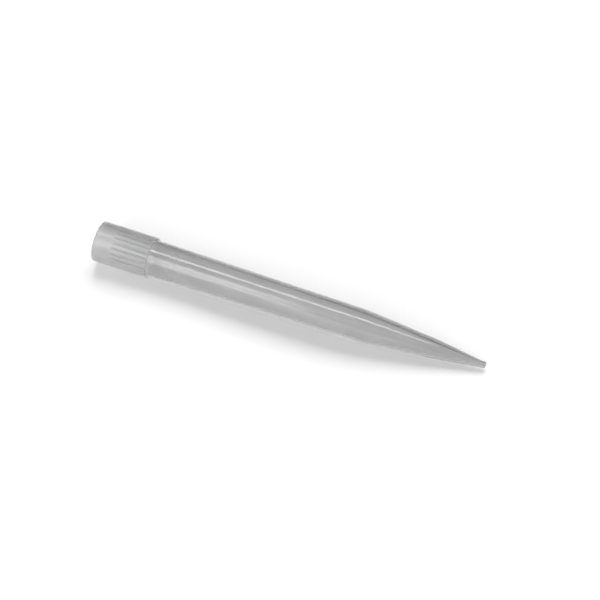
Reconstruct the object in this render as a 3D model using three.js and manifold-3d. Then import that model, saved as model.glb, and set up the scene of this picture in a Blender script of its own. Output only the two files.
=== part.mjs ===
// A 5 mL pipette tip, moulded in one piece from natural polypropylene.
// Millimetres, +Z up. It stands on its mouth: z = 0 is the mouth rim, and the
// bore's axis is the Z axis, with the fine end at the top.

import * as THREE from 'three';
import { mergeVertices } from 'three/addons/utils/BufferGeometryUtils.js';
import Module from 'manifold-3d';

// Outside
const rimDiameter = 15.4;        // across the collar at the mouth
const collarLength = 21.4;       // mouth rim to the step face
const collarFall = 0.12;         // what the collar's radius loses over its length
const stepLedge = 0.31;          // step face left below the floors of the grooves
const bodyLength = 82.4;         // step face to the shoulder of the upper cone
const shoulderDiameter = 12.05;  // where the body turns into the upper cone
const upperConeLength = 27.2;
const lowerConeDiameter = 7.2;   // where the cone steepens
const lowerConeLength = 16.1;
const noseDiameter = 2.7;        // where the lower cone meets the short nose
const noseLength = 2.9;
const endDiameter = 2.3;

// Walls and bores
const rimWall = 1.2;             // at the mouth
const leadInDepth = 5.8;         // mouth rim to the end of the lead-in
const socketDepth = 19.8;        // mouth rim to the end of the nozzle's seat
const socketDraft = 0.9;         // degrees, half angle of the nozzle's seat
const seatRise = 0.12;           // the seat's end stands this far outside the body's bore
const bodyWall = 1.1;            // just past the step
const shoulderWall = 1.35;
const lowerConeWall = 1.3;
const noseWall = 0.58;
const endBore = 1.4;

// Grip grooves round the collar
const grooveCount = 24;
const grooveDepth = 0.32;        // at the step face
const grooveRadius = 0.5;        // of the round floor
const grooveStart = 6.6;         // mouth rim to the first trace of a groove
const grooveRunOut = 3.2;        // from that trace to full width
const grooveOvershoot = 0.6;     // how far a cutter passes through the step face

// Rounds
const rimRound = 0.3;
const stepRound = 0.15;
const footRound = 0.2;
const shoulderRound = 80;
const coneRound = 60;
const noseRound = 6;
const endRound = 0.12;
const chordTolerance = 0.012;    // how far a round's chords may lie inside it

const segmentsPerGroove = 3;
const cutterSides = 12;
const cutterNoseSteps = 3;

// Stations along the axis
const shoulderHeight = collarLength + bodyLength;
const lowerConeHeight = shoulderHeight + upperConeLength;
const noseHeight = lowerConeHeight + lowerConeLength;
const endHeight = noseHeight + noseLength;

// Radii that follow from the sizes above
const rimRadius = rimDiameter / 2;
const collarEndRadius = rimRadius - collarFall;
const grooveFloorRadius = collarEndRadius - grooveDepth;
const bodyRadius = grooveFloorRadius - stepLedge;
const bodyBoreRadius = bodyRadius - bodyWall;
const seatEndRadius = bodyBoreRadius + seatRise;
const seatTaper = Math.tan(THREE.MathUtils.degToRad(socketDraft));
const seatMouthRadius = seatEndRadius + (socketDepth - leadInDepth) * seatTaper;

// One corner of the section: its radius, its height and how far it is rounded.
const corner = (radius, height, round = 0) => ({ point: new THREE.Vector2(radius, height), round });

// The closed section, up the outside and down the inside.
const section = [
  corner(rimRadius - rimWall, 0, rimRound),
  corner(rimRadius, 0, rimRound),
  corner(collarEndRadius, collarLength, stepRound),
  corner(bodyRadius, collarLength, footRound),
  corner(shoulderDiameter / 2, shoulderHeight, shoulderRound),
  corner(lowerConeDiameter / 2, lowerConeHeight, coneRound),
  corner(noseDiameter / 2, noseHeight, noseRound),
  corner(endDiameter / 2, endHeight, endRound),
  corner(endBore / 2, endHeight, endRound),
  corner(noseDiameter / 2 - noseWall, noseHeight, noseRound),
  corner(lowerConeDiameter / 2 - lowerConeWall, lowerConeHeight, coneRound),
  corner(shoulderDiameter / 2 - shoulderWall, shoulderHeight, shoulderRound),
  corner(bodyBoreRadius, socketDepth + seatRise),
  corner(seatEndRadius, socketDepth),
  corner(seatMouthRadius, leadInDepth),
];

// Replaces a corner by an arc that touches both of its sides. The arc is
// limited to the middle half of the shorter side.
function roundCorner(before, { point, round }, after) {
  if (round === 0) return [point.clone()];
  const toBefore = before.point.clone().sub(point);
  const toAfter = after.point.clone().sub(point);
  const halfAngle = Math.abs(toBefore.angleTo(toAfter)) / 2;
  const longestReach = Math.min(toBefore.length(), toAfter.length()) / 2;
  const reach = Math.min(round / Math.tan(halfAngle), longestReach);
  const start = point.clone().addScaledVector(toBefore.normalize(), reach);
  const end = point.clone().addScaledVector(toAfter.normalize(), reach);
  const centreDistance = reach / Math.cos(halfAngle);
  const bisector = toBefore.clone().add(toAfter).normalize();
  const centre = point.clone().addScaledVector(bisector, centreDistance);
  const spokeStart = start.sub(centre);
  const spokeEnd = end.sub(centre);
  const turn = Math.PI - 2 * halfAngle;
  const chordTurn = 2 * Math.acos(1 - chordTolerance / spokeStart.length());
  const steps = Math.ceil(turn / chordTurn);
  const arc = [];
  for (let step = 0; step <= steps; step++) {
    const share = step / steps;
    const startWeight = Math.sin((1 - share) * turn) / Math.sin(turn);
    const endWeight = Math.sin(share * turn) / Math.sin(turn);
    arc.push(centre.clone().addScaledVector(spokeStart, startWeight).addScaledVector(spokeEnd, endWeight));
  }
  return arc;
}

// Turns a closed list of corners into the points of a lathe's profile.
function roundedOutline(corners) {
  const points = corners.flatMap((current, index) => {
    const before = corners[(index + corners.length - 1) % corners.length];
    const after = corners[(index + 1) % corners.length];
    return roundCorner(before, current, after);
  });
  points.push(points[0].clone());
  return points;
}

// The tip without its grooves, turned about Z.
function plainTip() {
  const segments = grooveCount * segmentsPerGroove;
  return new THREE.LatheGeometry(roundedOutline(section), segments).rotateX(Math.PI / 2);
}

// What one groove takes away: a round bar with a long rounded nose, which
// lets the groove run out towards the mouth.
function grooveCutter() {
  const profile = [];
  for (let step = 0; step <= cutterNoseSteps; step++) {
    const angle = (step / cutterNoseSteps) * (Math.PI / 2);
    const height = grooveStart + grooveRunOut * (1 - Math.cos(angle));
    profile.push(new THREE.Vector2(grooveRadius * Math.sin(angle), height));
  }
  const cutterEnd = collarLength + grooveOvershoot;
  profile.push(new THREE.Vector2(grooveRadius, cutterEnd), new THREE.Vector2(0, cutterEnd));
  const bar = new THREE.LatheGeometry(profile, cutterSides).rotateX(Math.PI / 2);
  return bar.translate(grooveFloorRadius + grooveRadius, 0, 0);
}

const wasm = await Module();
wasm.setup();

function toSolid(geometry) {
  const bare = geometry.clone();
  bare.deleteAttribute('normal');
  bare.deleteAttribute('uv');
  const merged = mergeVertices(bare);
  return new wasm.Manifold(new wasm.Mesh({
    numProp: 3,
    vertProperties: merged.attributes.position.array,
    triVerts: merged.index.array,
  }));
}

function toGeometry(solid) {
  const mesh = solid.getMesh();
  const geometry = new THREE.BufferGeometry();
  geometry.setAttribute('position', new THREE.BufferAttribute(mesh.vertProperties, mesh.numProp));
  geometry.setIndex(new THREE.BufferAttribute(mesh.triVerts, 1));
  geometry.computeVertexNormals();
  return geometry;
}

function pipetteTip() {
  let tip = toSolid(plainTip());
  const cutter = grooveCutter();
  for (let groove = 0; groove < grooveCount; groove++) {
    const turned = cutter.clone().rotateZ((groove / grooveCount) * 2 * Math.PI);
    tip = tip.subtract(toSolid(turned));
  }
  const naturalPolypropylene = new THREE.MeshStandardMaterial({
    color: 0xd9dbdb,
    roughness: 0.35,
    metalness: 0,
  });
  const mesh = new THREE.Mesh(toGeometry(tip), naturalPolypropylene);
  mesh.name = 'pipette_tip';
  return mesh;
}

const group = new THREE.Group();
group.add(pipetteTip());

export default group;
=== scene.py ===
import math

import bmesh
import bpy
from mathutils import Matrix, Vector


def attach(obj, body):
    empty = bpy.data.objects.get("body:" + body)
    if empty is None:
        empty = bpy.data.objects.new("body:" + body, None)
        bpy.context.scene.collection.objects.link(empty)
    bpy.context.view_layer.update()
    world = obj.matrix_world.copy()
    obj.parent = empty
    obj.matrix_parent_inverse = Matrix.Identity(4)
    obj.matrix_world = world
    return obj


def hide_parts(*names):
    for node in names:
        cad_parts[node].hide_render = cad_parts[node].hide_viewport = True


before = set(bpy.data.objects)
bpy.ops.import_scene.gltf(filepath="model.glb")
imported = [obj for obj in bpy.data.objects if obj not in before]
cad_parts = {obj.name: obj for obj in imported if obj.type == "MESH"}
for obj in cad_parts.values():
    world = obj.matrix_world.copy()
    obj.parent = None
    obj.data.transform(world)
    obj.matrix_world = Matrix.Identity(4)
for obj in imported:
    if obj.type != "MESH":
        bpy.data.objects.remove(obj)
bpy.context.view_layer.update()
bpy.ops.object.select_all(action="DESELECT")
print("frame loaded")

mm = 0.001
samePlace = 1e-6   # points this close are one, metres
sameLevel = 1e-7   # and heights this close
zAxis = Vector((0, 0, 1))


def linearColour(hexCode):  # sRGB hex to the linear values that shaders take
    channels = [int(hexCode[i:i + 2], 16) / 255 for i in (1, 3, 5)]
    return [c / 12.92 if c <= 0.04045 else ((c + 0.055) / 1.055) ** 2.4 for c in channels] + [1]


def linearGrey(level):
    return [level] * 3 + [1]


def addNode(tree, kind, inputs=None, **settings):  # each input is another node's output or a value
    node = tree.nodes.new(kind)
    for name, value in settings.items():
        setattr(node, name, value)
    for socket, value in (inputs or {}).items():
        if isinstance(value, bpy.types.NodeSocket):
            tree.links.new(value, node.inputs[socket])
        else:
            node.inputs[socket].default_value = value
    return node


def placeAt(thing, right, up, facing, spot):  # turns its own axes to these and moves it there
    turned = Matrix((right, up, facing)).transposed().to_4x4()
    turned.translation = spot
    thing.matrix_world = turned


def selectWhere(test, kind="verts"):  # an edge is tested at both ends, a face at its middle
    spotsOf = {
        "verts": lambda vertex: [vertex.co],
        "edges": lambda edge: [vertex.co for vertex in edge.verts],
        "faces": lambda face: [face.calc_center_median()],
    }[kind]
    bpy.ops.mesh.select_all(action="DESELECT")
    mesh = bmesh.from_edit_mesh(bpy.context.edit_object.data)
    for part in getattr(mesh, kind):
        if all(test(spot) for spot in spotsOf(part)):
            part.select_set(True)
    mesh.select_flush(True)
    bmesh.update_edit_mesh(bpy.context.edit_object.data)


def radiusOf(point):
    return math.hypot(point.x, point.y)


# The tip. One slice, from the middle of a land to the next, is modelled and then turned into the
# whole shell. Lengths are in mm, heights start at the mouth.
tipShape = {
    "rimRadius": 7.7, "rimWall": 1.2, "rimRound": 0.3,
    "collarLength": 21.4, "collarFall": 0.12,   # what the collar's radius loses up to the step
    "stepLedge": 0.31, "stepRound": 0.15, "footRound": 0.2,
    "grooves": 24, "grooveDepth": 0.32, "grooveRadius": 0.5,
    "grooveStart": 6.6, "grooveRunOut": 3.2,
    "bodyLength": 82.4, "shoulderRadius": 6.025, "shoulderRound": 80,
    "upperConeLength": 27.2, "lowerConeRadius": 3.6, "coneRound": 60,
    "lowerConeLength": 16.1, "noseRadius": 1.35, "noseRound": 6,
    "noseLength": 2.9, "endRadius": 1.15, "endBoreRadius": 0.7, "endRound": 0.12,
    "leadInDepth": 5.8, "socketDepth": 19.8, "seatRise": 0.12,
    "socketDraft": 0.9,   # degrees
    "bodyWall": 1.1, "shoulderWall": 1.35, "lowerConeWall": 1.3, "noseWall": 0.58,
    "columns": 16,        # strips across one slice
    "runOutRings": 8,     # rings where a groove runs out
    "smallRoundSteps": 4, "longRoundSteps": 10,
    "crispAngle": 28,     # an edge that turns by more degrees than this stays crisp
}


def tipCorners(s):  # (radius, height, round, steps) up the outside, then down the inside
    collarEnd = s["rimRadius"] - s["collarFall"]
    body = collarEnd - s["grooveDepth"] - s["stepLedge"]
    bore = body - s["bodyWall"]
    seatEnd = bore + s["seatRise"]
    seatLength = s["socketDepth"] - s["leadInDepth"]
    seatMouth = seatEnd + seatLength * math.tan(math.radians(s["socketDraft"]))
    shoulder = s["collarLength"] + s["bodyLength"]
    cone = shoulder + s["upperConeLength"]
    nose = cone + s["lowerConeLength"]
    end = nose + s["noseLength"]
    few, many = s["smallRoundSteps"], s["longRoundSteps"]
    return [
        (s["rimRadius"] - s["rimWall"], 0, s["rimRound"], few),
        (s["rimRadius"], 0, s["rimRound"], few),
        (collarEnd, s["collarLength"], s["stepRound"], few),
        (body, s["collarLength"], s["footRound"], few),
        (s["shoulderRadius"], shoulder, s["shoulderRound"], many),
        (s["lowerConeRadius"], cone, s["coneRound"], many),
        (s["noseRadius"], nose, s["noseRound"], few),
        (s["endRadius"], end, s["endRound"], few),
        (s["endBoreRadius"], end, s["endRound"], few),
        (s["noseRadius"] - s["noseWall"], nose, s["noseRound"], few),
        (s["lowerConeRadius"] - s["lowerConeWall"], cone, s["coneRound"], many),
        (s["shoulderRadius"] - s["shoulderWall"], shoulder, s["shoulderRound"], many),
        (bore, s["socketDepth"] + s["seatRise"], 0, 0),
        (seatEnd, s["socketDepth"], 0, 0),
        (seatMouth, s["leadInDepth"], 0, 0),
    ]


def buildTip():
    s = tipShape
    corners = tipCorners(s)
    slices = s["grooves"]
    halfSlice = math.pi / slices
    step = s["collarLength"]
    slack = 0.01   # mm, for choosing points near a known radius or height
    firstRadius, firstHeight = corners[0][0] * mm, corners[0][1] * mm
    bpy.ops.mesh.primitive_circle_add(vertices=slices * s["columns"], radius=firstRadius)
    tip = bpy.context.active_object
    tip.name = tip.data.name = "moulded_tip"
    bpy.ops.object.mode_set(mode="EDIT")
    justOutside = halfSlice * 1.01   # the points on the slice's two sides are kept
    selectWhere(lambda p: abs(math.atan2(p.y, p.x)) > justOutside)
    bpy.ops.mesh.delete(type="VERT")

    # the slice's outline: the edge is pulled from corner to corner and scaled to each radius
    bpy.ops.mesh.select_all(action="SELECT")
    radius, height = firstRadius, firstHeight
    for nextRadius, nextHeight, _, _ in corners[1:] + corners[:1]:
        nextRadius, nextHeight = nextRadius * mm, nextHeight * mm
        bpy.ops.mesh.extrude_edges_move(
            TRANSFORM_OT_translate={"value": (0, 0, nextHeight - height)})
        scale = nextRadius / radius
        bpy.ops.transform.resize(value=(scale, scale, 1), center_override=(0, 0, nextHeight))
        radius, height = nextRadius, nextHeight
    bpy.ops.mesh.select_all(action="SELECT")
    bpy.ops.mesh.remove_doubles(threshold=samePlace)

    # each corner is rounded; the reach of a round is how far it runs along its sides
    for index, (cornerRadius, cornerHeight, roundRadius, steps) in enumerate(corners):
        if roundRadius == 0:
            continue
        here = Vector((cornerRadius, cornerHeight))
        before = Vector(corners[index - 1][:2]) - here
        after = Vector(corners[(index + 1) % len(corners)][:2]) - here
        halfAngle = before.angle(after) / 2
        reach = min(roundRadius / math.tan(halfAngle), min(before.length, after.length) / 2)
        selectWhere(lambda p: abs(radiusOf(p) - cornerRadius * mm) < samePlace
                    and abs(p.z - cornerHeight * mm) < samePlace, "edges")
        bpy.ops.mesh.bevel(offset=reach * mm, segments=steps, affect="EDGES",
                           offset_type="OFFSET", clamp_overlap=False)
    print("tip outline rounded:", len(tip.data.vertices), "corners")

    # rings across the outside of the collar, where the grooves run out
    floorRadius = corners[2][0] - s["grooveDepth"]
    cutterAxis = floorRadius + s["grooveRadius"]
    footEnd = corners[3][0] + s["footRound"]

    def onCollar(p):
        return p.z < (step + slack) * mm and radiusOf(p) > (footEnd + 2 * slack) * mm

    for ring in range(s["runOutRings"] + 1):
        angle = ring / s["runOutRings"] * math.pi / 2
        ringHeight = s["grooveStart"] + s["grooveRunOut"] * (1 - math.cos(angle))
        selectWhere(lambda p: onCollar(p) and p.z > s["rimRound"] * mm, "faces")
        bpy.ops.mesh.bisect(plane_co=(0, 0, ringHeight * mm), plane_no=(0, 0, 1),
                            threshold=samePlace)

    # the groove: each strip of each ring is drawn in to the round floor
    mesh = bmesh.from_edit_mesh(tip.data)
    heights = sorted({round(v.co.z, 7) for v in mesh.verts if onCollar(v.co)})   # to sameLevel
    columnTurn = 2 * halfSlice / s["columns"]
    for ringHeight in heights:
        along = (ringHeight / mm - s["grooveStart"]) / s["grooveRunOut"]
        if along <= 0:
            continue
        width = s["grooveRadius"] * math.sqrt(1 - max(0, 1 - along) ** 2)
        for column in range(-s["columns"] // 2, s["columns"] // 2 + 1):
            across = floorRadius * math.tan(column * columnTurn)
            if abs(across) >= width:
                continue
            floor = math.hypot(cutterAxis - math.sqrt(width ** 2 - across ** 2), across)

            def inStrip(p):
                return (onCollar(p) and abs(p.z - ringHeight) < sameLevel
                        and abs(math.atan2(p.y, p.x) - column * columnTurn) < columnTurn / 10
                        and radiusOf(p) > floor * mm)

            mesh = bmesh.from_edit_mesh(tip.data)
            for vertex in [v for v in mesh.verts if inStrip(v.co)]:
                bpy.ops.mesh.select_all(action="DESELECT")
                vertex.select = True
                mesh.select_flush(True)
                bmesh.update_edit_mesh(tip.data)
                scale = floor * mm / radiusOf(vertex.co)
                bpy.ops.transform.resize(value=(scale, scale, 1),
                                         center_override=(0, 0, ringHeight))
    print("groove cut")

    # the slice is repeated round the axis and welded
    bpy.ops.mesh.select_all(action="SELECT")
    bpy.ops.mesh.spin(steps=slices - 1, dupli=True, center=(0, 0, 0), axis=(0, 0, 1),
                      angle=-2 * math.pi * (slices - 1) / slices)
    bpy.ops.mesh.select_all(action="SELECT")
    bpy.ops.mesh.remove_doubles(threshold=2 * samePlace)
    bpy.ops.mesh.normals_make_consistent(inside=False)
    bpy.ops.object.mode_set(mode="OBJECT")
    bpy.ops.object.shade_smooth_by_angle(angle=math.radians(s["crispAngle"]))
    # the long faces keep their own normals, and only the rounds beside them are shaded soft
    bpy.ops.object.modifier_add(type="WEIGHTED_NORMAL")
    tip.modifiers[0].keep_sharp = True
    bpy.ops.object.modifier_apply(modifier=tip.modifiers[0].name)

    # for the material: how far down a groove each point lies, 1 at the floor; it sets the painted
    # shade in the grooves
    grooveShadeDepth = tip.data.attributes.new("grooveShadeDepth", "FLOAT", "POINT")
    rimEnd, roundStart = s["rimRound"] * mm, (step - s["stepRound"] + slack) * mm
    for vertex in tip.data.vertices:
        if onCollar(vertex.co) and rimEnd < vertex.co.z < roundStart:
            outside = s["rimRadius"] - s["collarFall"] * vertex.co.z / (step * mm)
            depth = (outside - radiusOf(vertex.co) / mm) / s["grooveDepth"]
            grooveShadeDepth.data[vertex.index].value = max(0, depth)

    # and what the core's roughness does on each face: added in the bore, taken off the step face
    satin = tip.data.attributes.new("satin", "FLOAT", "FACE")
    for face in tip.data.polygons:
        facesUp = face.normal.z > 0.5
        onStep = facesUp and abs(face.center.z - step * mm) < s["footRound"] * mm
        inBore = face.center.xy.dot(face.normal.xy) < 0
        satin.data[face.index].value = -1 if onStep else inBore
    print("tip shell:", len(tip.data.polygons), "faces")
    return tip


tip = buildTip()
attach(tip, "root")
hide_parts("pipette_tip")

# The tip's finish. Lengths are in mm, heights start at the mouth.
plastic = {
    "clear": "#fafafa",      # the wall where it is clearest
    "milky": "#e9e9e9",      # and where haze drifts through it
    "clearToMilky": (0.7, 1.35),   # over this span of haze and streaks together
    "fineEndShade": "#ececec",    # painted shade: greyer as the bore narrows, for the darker look the light gives the fine end
    "fineShadeSpan": (104, 142),
    "collar": "#fdfdfd",     # thicker and whiter
    "groove": "#e8e8e8",     # painted shade: the grooves are darker the deeper they go
    "collarFade": (0.05, 0.4),     # past the step
    # each pattern: its size across and along the tip, its detail and how rough that is
    "haze": (9, 18, 3, 0.55),
    "streak": (1.1, 60, 2, 0.5),
    "grain": (0.5, 0.5, 2, 0.6),   # real spark grain is finer, about 0.1 mm
    "ior": 1.49,
    "transmission": 0.93,
    "gripTransmission": 0.8,
    "milk": [(3, 0), (9, 1), (21.8, 1), (25, 0)],   # how much of the grip's there is at a height
    "milkReach": 30,         # and up to where that is worked out
    "depthColour": "#c5c5c5", "depthDensity": 160,  # what a long way through the wall takes off
    "bodyRoughness": 0.13,         # polished cavity
    "collarRoughness": 0.31,       # satin spark-eroded cavity round the grip
    "seatRoughness": 0.22,         # what the core adds in the bore, satin where the nozzle seats
    "boreRoughness": 0.05,         # and smoother further on
    "seatFade": 20,                # length of the change between the two, from the step
    "streakRoughness": 0.05, "streakSpan": (0.3, 0.7),
    "streakHeight": 0.0012, "grainHeight": 0.008,
}


# Natural polypropylene, injection moulded. Crystals in the wall make it milky, so what lies
# behind it shows soft and grey. It flowed along the tip, which left faint lengthwise streaks in
# haze and gloss, and the collar's cavity was left satin where the body's was polished.
def polypropylene():
    material = bpy.data.materials.new("moulded natural polypropylene")
    material.use_nodes = True
    tree = material.node_tree
    here = addNode(tree, "ShaderNodeTexCoord").outputs["Object"]
    height = addNode(tree, "ShaderNodeSeparateXYZ", {"Vector": here}).outputs["Z"]
    noise = {}
    for pattern in ("haze", "streak", "grain"):
        width, length, detail, roughness = plastic[pattern]
        scale = (1 / (width * mm), 1 / (width * mm), 1 / (length * mm))
        spot = addNode(tree, "ShaderNodeMapping", {"Vector": here, "Scale": scale})
        noise[pattern] = addNode(tree, "ShaderNodeTexNoise", {
            "Vector": spot.outputs[0], "Scale": 1, "Detail": detail, "Roughness": roughness,
        }).outputs["Fac"]

    # 1 on the collar, 0 from the step upwards
    step = tipShape["collarLength"] * mm
    fadeFrom, fadeTo = (step + past * mm for past in plastic["collarFade"])
    onCollar = addNode(tree, "ShaderNodeMapRange", {
        "Value": height, "From Min": fadeFrom, "From Max": fadeTo, "To Min": 1, "To Max": 0,
    }, interpolation_type="SMOOTHSTEP").outputs[0]

    # colour: clear to milky along the wall, with painted shade greyer at the fine end; whiter on
    # the collar, with painted shade down its grooves
    cloud = addNode(tree, "ShaderNodeMath", {0: noise["streak"], 1: noise["haze"]},
                    operation="ADD")
    clearest, milkiest = plastic["clearToMilky"]
    drift = addNode(tree, "ShaderNodeMapRange", {
        "Value": cloud.outputs[0], "From Min": clearest, "From Max": milkiest,
    })
    tone = addNode(tree, "ShaderNodeValToRGB", {"Fac": drift.outputs[0]})
    for stop, shade in zip(tone.color_ramp.elements, ("clear", "milky")):
        stop.color = linearColour(plastic[shade])
    # painted shade: the wall's colour is mixed towards a greyer one over the fine end
    fineFrom, fineTo = plastic["fineShadeSpan"]
    finer = addNode(tree, "ShaderNodeMapRange", {
        "Value": height, "From Min": fineFrom * mm, "From Max": fineTo * mm,
    }, interpolation_type="SMOOTHSTEP")
    wall = addNode(tree, "ShaderNodeMix", {
        "Factor": finer.outputs[0], "A": tone.outputs["Color"],
        "B": linearColour(plastic["fineEndShade"]),
    }, data_type="RGBA")
    # painted shade down the grooves: the collar's white is mixed towards the groove grey by depth
    grooveShadeDepth = addNode(tree, "ShaderNodeAttribute", attribute_name="grooveShadeDepth")
    grip = addNode(tree, "ShaderNodeMix", {
        "Factor": grooveShadeDepth.outputs["Fac"], "A": linearColour(plastic["collar"]),
        "B": linearColour(plastic["groove"]),
    }, data_type="RGBA")
    colour = addNode(tree, "ShaderNodeMix", {
        "Factor": onCollar, "A": wall.outputs["Result"], "B": grip.outputs["Result"],
    }, data_type="RGBA")

    # the grip and the foot of the body scatter more light than the rest
    reach = addNode(tree, "ShaderNodeMapRange", {
        "Value": height, "From Max": plastic["milkReach"] * mm,
    })
    milk = addNode(tree, "ShaderNodeValToRGB", {"Fac": reach.outputs[0]})
    stops = milk.color_ramp.elements
    for index, (level, share) in enumerate(plastic["milk"]):
        position = level / plastic["milkReach"]
        stop = stops[index] if index < 2 else stops.new(position)   # a new ramp has two stops
        stop.position, stop.color = position, linearGrey(share)
    weight = addNode(tree, "ShaderNodeMapRange", {
        "Value": milk.outputs["Color"],
        "To Min": plastic["transmission"], "To Max": plastic["gripTransmission"],
    })

    # roughness: the cavity's, the flow streaks', and the core's in the bore
    gloss = addNode(tree, "ShaderNodeMapRange", {
        "Value": onCollar,
        "To Min": plastic["bodyRoughness"], "To Max": plastic["collarRoughness"],
    })
    least, most = plastic["streakSpan"]
    spread = addNode(tree, "ShaderNodeMapRange", {
        "Value": noise["streak"], "From Min": least, "From Max": most,
        "To Min": -plastic["streakRoughness"] / 2, "To Max": plastic["streakRoughness"] / 2,
    })
    cavity = addNode(tree, "ShaderNodeMath", {0: gloss.outputs[0], 1: spread.outputs[0]},
                     operation="ADD")
    core = addNode(tree, "ShaderNodeMapRange", {
        "Value": height, "From Min": step, "From Max": step + plastic["seatFade"] * mm,
        "To Min": plastic["seatRoughness"], "To Max": plastic["boreRoughness"],
    }, interpolation_type="SMOOTHSTEP")
    satin = addNode(tree, "ShaderNodeAttribute", attribute_name="satin")
    rough = addNode(tree, "ShaderNodeMath", {
        0: satin.outputs["Fac"], 1: core.outputs[0], 2: cavity.outputs[0],
    }, operation="MULTIPLY_ADD")

    # relief: spark grain on the collar only, flow streaks all along
    grainBump = addNode(tree, "ShaderNodeBump", {
        "Height": noise["grain"], "Strength": onCollar, "Distance": plastic["grainHeight"] * mm,
    })
    streakBump = addNode(tree, "ShaderNodeBump", {
        "Height": noise["streak"], "Normal": grainBump.outputs[0],
        "Distance": plastic["streakHeight"] * mm,
    })

    shader = tree.nodes["Principled BSDF"]
    shader.inputs["IOR"].default_value = plastic["ior"]
    # the plain weight is for a program that can't follow the link to it
    shader.inputs["Transmission Weight"].default_value = plastic["transmission"]
    for socket, source in {
        "Base Color": colour.outputs["Result"], "Transmission Weight": weight.outputs[0],
        "Roughness": rough.outputs[0], "Normal": streakBump.outputs[0],
    }.items():
        tree.links.new(source, shader.inputs[socket])
    depth = addNode(tree, "ShaderNodeVolumeAbsorption", {
        "Color": linearColour(plastic["depthColour"]), "Density": plastic["depthDensity"],
    })
    tree.links.new(depth.outputs[0], tree.nodes["Material Output"].inputs["Volume"])
    return material


tip.data.materials.append(polypropylene())

# The camera. Lengths are in metres, turns in degrees.
shot = {
    "azimuth": 81.4,      # where the camera stands round the tip
    "standOff": 0.680,    # from the tip's axis
    "height": 0.231,      # above the mouth
    "pitch": 12.605,      # down from level
    "swing": 0.157,       # of the view off the tip's axis
    "tipDrop": 17.857,    # how far below level the tip runs across the view
    "lens": 115.8,        # mm
}


def placeCamera():  # gives the directions to the camera and to its left, both level
    azimuth, pitch, swing, drop = (
        math.radians(shot[angle]) for angle in ("azimuth", "pitch", "swing", "tipDrop"))
    outward = Vector((math.sin(azimuth), -math.cos(azimuth), 0))
    facing = outward * math.cos(pitch) + zAxis * math.sin(pitch)
    alongTip = zAxis * math.cos(pitch) - outward * math.sin(pitch)
    acrossTip = facing.cross(alongTip)
    back = facing * math.cos(swing) - acrossTip * math.sin(swing)
    side = back.cross(alongTip)
    right = alongTip * math.cos(drop) + side * math.sin(drop)
    data = bpy.data.cameras.new("camera")
    data.lens = shot["lens"]
    camera = bpy.data.objects.new("camera", data)
    bpy.context.collection.objects.link(camera)
    spot = outward * shot["standOff"] + zAxis * shot["height"]
    placeAt(camera, right, back.cross(right), back, spot)
    bpy.context.scene.camera = camera
    return outward, outward.cross(zAxis)


outward, sideways = placeCamera()
print("camera placed")

# The stage: a small floor under the tip, a sheet of card that rises close behind it, and more
# floor behind the sheet. Lengths are in metres but for the sag.
stage = {
    "wallTurn": 36.4,     # how far the sheet faces to the camera's left, degrees
    "wallSize": 0.8, "wallBelow": 0.15,   # and how much of it lies below the step
    "wallRows": 160,
    # between these heights above the mouth the sheet falls back by so much, mm; less than
    # nothing brings it forward again
    "sag": [(21, 90, 2.4), (85, 175, -6.6)],
    "footRadius": 0.008, "footCorners": 96,   # of the floor under the tip
    "floorSize": 0.6,     # of the floor behind the sheet
    "paper": "#e7e7e7",   # for the light that the card throws back
    "printWhite": 0.87, "printGlow": 0.13,   # lit and unlit share of its white in the picture
    "floorWhite": 2.1,    # the floor turns away from the softbox
    "seenWhite": 0.15,    # of the card, through the plastic or mirrored in it
    "seenGlow": 0.54,     # and the unlit share through it
    "mirrorGlow": 1.1,    # and mirrored in it
}


# Matt white card. It lights the tip as pale card does, and is printed white in the picture.
def paper(name, printWhite, oneSided=False):
    material = bpy.data.materials.new(name)
    material.use_nodes = True
    tree = material.node_tree
    tree.nodes.clear()
    rays = addNode(tree, "ShaderNodeLightPath").outputs
    inPicture, through = rays["Is Camera Ray"], rays["Is Transmission Ray"]
    # a ray through satin plastic counts as glossy too
    mirrored = addNode(tree, "ShaderNodeMath", {0: rays["Is Glossy Ray"], 1: through},
                       operation="SUBTRACT", use_clamp=True).outputs[0]
    inPlastic = addNode(tree, "ShaderNodeMath", {0: mirrored, 1: through}, operation="MAXIMUM")
    thrown = addNode(tree, "ShaderNodeMix", {
        "Factor": inPlastic.outputs[0], "A": linearColour(stage["paper"]),
        "B": linearGrey(stage["seenWhite"]),
    }, data_type="RGBA")
    printed = addNode(tree, "ShaderNodeMix", {
        "Factor": inPicture, "A": thrown.outputs["Result"], "B": linearGrey(printWhite),
    }, data_type="RGBA")
    matt = addNode(tree, "ShaderNodeBsdfDiffuse", {"Color": printed.outputs["Result"]})
    glow = 0
    for ray, strength in (inPicture, "printGlow"), (through, "seenGlow"), (mirrored, "mirrorGlow"):
        glow = addNode(tree, "ShaderNodeMath", {0: ray, 1: stage[strength], 2: glow},
                       operation="MULTIPLY_ADD").outputs[0]
    shine = addNode(tree, "ShaderNodeEmission", {"Strength": glow})
    surface = addNode(tree, "ShaderNodeAddShader", {0: matt.outputs[0], 1: shine.outputs[0]})
    if oneSided:
        back = addNode(tree, "ShaderNodeNewGeometry").outputs["Backfacing"]
        clear = addNode(tree, "ShaderNodeBsdfTransparent").outputs[0]
        surface = addNode(tree, "ShaderNodeMixShader", {0: back, 1: surface.outputs[0], 2: clear})
    addNode(tree, "ShaderNodeOutputMaterial", {"Surface": surface.outputs[0]})
    return material


wallTurn = math.radians(stage["wallTurn"])
wallFacing = outward * math.cos(wallTurn) + sideways * math.sin(wallTurn)


def smoothShare(share):
    share = min(max(share, 0), 1)
    return share * share * (3 - 2 * share)


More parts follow.
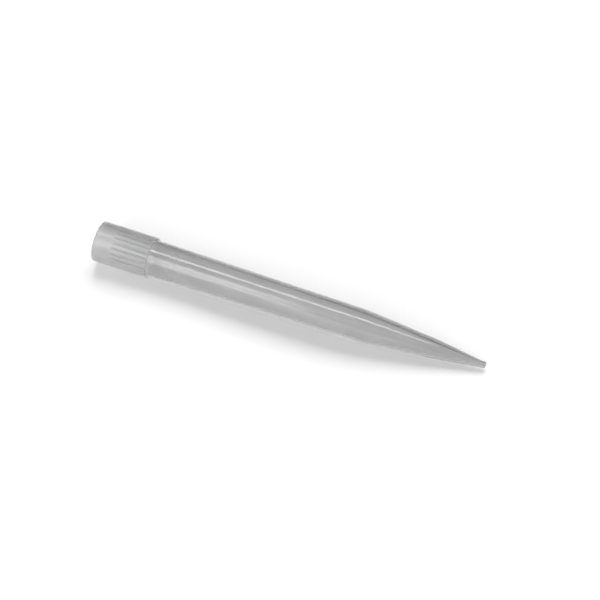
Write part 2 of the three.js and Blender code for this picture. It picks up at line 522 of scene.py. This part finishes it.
def buildBackdrop():
    s = tipShape
    size, below = stage["wallSize"], stage["wallBelow"]
    bpy.ops.mesh.primitive_grid_add(x_subdivisions=1, y_subdivisions=stage["wallRows"],
                                    size=size, location=(0, 0, 0))
    wall = bpy.context.active_object
    wall.name = "backdrop"

    # the sheet sags under the body and comes forward to the fine end: each move takes its row
    # and all that is above it
    bpy.ops.object.mode_set(mode="EDIT")
    rowHeight = size / stage["wallRows"]
    lowered = 0
    for row in range(stage["wallRows"] + 1):
        atRow = row * rowHeight - size / 2
        above = (atRow + size / 2 - below) / mm + s["collarLength"]
        sag = sum(deep * smoothShare((above - low) / (high - low))
                  for low, high, deep in stage["sag"]) * mm
        if abs(sag - lowered) > sameLevel:
            selectWhere(lambda p: p.y > atRow - rowHeight / 2)
            bpy.ops.transform.translate(value=(0, 0, lowered - sag))
            lowered = sag
    bpy.ops.object.mode_set(mode="OBJECT")
    bpy.ops.object.shade_smooth()

    # it leans on the collar's end and on the shoulder
    collarEnd = s["rimRadius"] - s["collarFall"]
    slope = (collarEnd - s["shoulderRadius"]) / s["bodyLength"]
    normal = (wallFacing - zAxis * slope).normalized()
    touch = (-wallFacing * collarEnd + zAxis * s["collarLength"]) * mm
    across = zAxis.cross(normal).normalized()
    upward = normal.cross(across)
    placeAt(wall, across, upward, normal, touch + upward * (size / 2 - below))
    wall.data.materials.append(paper("pale backdrop", stage["printWhite"], True))
    return wall


def buildStage():
    floorPaper = paper("pale floor", stage["floorWhite"])
    bpy.ops.mesh.primitive_circle_add(vertices=stage["footCorners"], radius=stage["footRadius"],
                                      fill_type="NGON")
    foot = bpy.context.active_object
    foot.name = "floor"
    foot.data.materials.append(floorPaper)
    bpy.ops.mesh.primitive_plane_add(size=stage["floorSize"], location=(0, 0, 0))
    behind = bpy.context.active_object
    behind.name = "floor_behind"
    placeAt(behind, wallFacing.cross(zAxis), wallFacing, zAxis,
            -wallFacing * (stage["floorSize"] / 2 + stage["footRadius"]))
    behind.data.materials.append(floorPaper)
    wall = buildBackdrop()


buildStage()
print("stage built")

# The light. Each lamp: degrees round from the camera towards its left, height angle, width and
# height in degrees, brightness. A glint lamp is only mirrored by the plastic, and the others
# only light it.
lamps = {
    "softbox": (68.5, -3, 43, 60, 3.05),
    "window": (-14, -4, 30, 24, 4.2),
    "fill": (-45, 5, 16, 50, 6.0),
    "windowGlint": (-11, -21.5, 37, 20, 5.2),
    "stripGlint": (41, -14, 9, 44, 9),
    "fillGlint": (-41, 5, 26, 50, 1.6),
}
light = {
    "distance": 1.2, "aim": 0.06,   # of the lamps, and how far up the tip they point, metres
    "room": 0.3,          # what the room adds to matt surfaces
    "ahead": 0.85,        # how bright it is through the plastic, straight out from the sheet
    "aside": 0,           # and along the sheet
    "asideToAhead": (0.4, 0.8),     # over this span of the cosine of the angle between them
}


def buildWorld():
    world = bpy.data.worlds.new("studio")
    bpy.context.scene.world = world
    world.use_nodes = True
    tree = world.node_tree
    tree.nodes.clear()
    rays = addNode(tree, "ShaderNodeLightPath").outputs
    white = (1, 1, 1, 1)
    seen = addNode(tree, "ShaderNodeBackground", {"Color": white, "Strength": 1})
    room = addNode(tree, "ShaderNodeMath", {0: rays["Is Diffuse Ray"], 1: light["room"]},
                   operation="MULTIPLY")
    direction = addNode(tree, "ShaderNodeTexCoord").outputs["Generated"]
    facing = addNode(tree, "ShaderNodeVectorMath", {0: direction, 1: wallFacing},
                     operation="DOT_PRODUCT")
    dim, bright = light["asideToAhead"]
    ahead = addNode(tree, "ShaderNodeMapRange", {
        "Value": facing.outputs["Value"], "From Min": dim, "From Max": bright,
        "To Min": light["aside"], "To Max": light["ahead"],
    }, interpolation_type="SMOOTHSTEP")
    through = addNode(tree, "ShaderNodeMath", {
        0: rays["Is Transmission Ray"], 1: ahead.outputs[0],
    }, operation="MULTIPLY")
    strength = addNode(tree, "ShaderNodeMath", {0: room.outputs[0], 1: through.outputs[0]},
                       operation="MAXIMUM")
    hidden = addNode(tree, "ShaderNodeBackground", {
        "Color": white, "Strength": strength.outputs[0],
    })
    mixed = addNode(tree, "ShaderNodeMixShader", {
        0: rays["Is Camera Ray"], 1: hidden.outputs[0], 2: seen.outputs[0],
    })
    addNode(tree, "ShaderNodeOutputWorld", {"Surface": mixed.outputs[0]})


def buildLamps():
    for name, (turn, rise, wide, tall, brightness) in lamps.items():
        turn, rise = math.radians(turn), math.radians(rise)
        toLamp = (outward * math.cos(turn) + sideways * math.sin(turn)) * math.cos(rise)
        toLamp += zAxis * math.sin(rise)
        data = bpy.data.lights.new(name, "AREA")
        data.shape = "RECTANGLE"
        data.size = 2 * light["distance"] * math.tan(math.radians(wide / 2))
        data.size_y = 2 * light["distance"] * math.tan(math.radians(tall / 2))
        data.energy = brightness * math.pi * data.size * data.size_y
        lamp = bpy.data.objects.new(name, data)
        lamp.visible_camera = False
        lamp.visible_glossy = name.endswith("Glint")
        lamp.visible_diffuse = not name.endswith("Glint")
        lamp.visible_transmission = False
        bpy.context.collection.objects.link(lamp)
        across = zAxis.cross(toLamp).normalized()
        placeAt(lamp, across, toLamp.cross(across), toLamp,
                toLamp * light["distance"] + zAxis * light["aim"])


buildWorld()
buildLamps()
print("light set")
bpy.context.scene.view_settings.view_transform = "Standard"
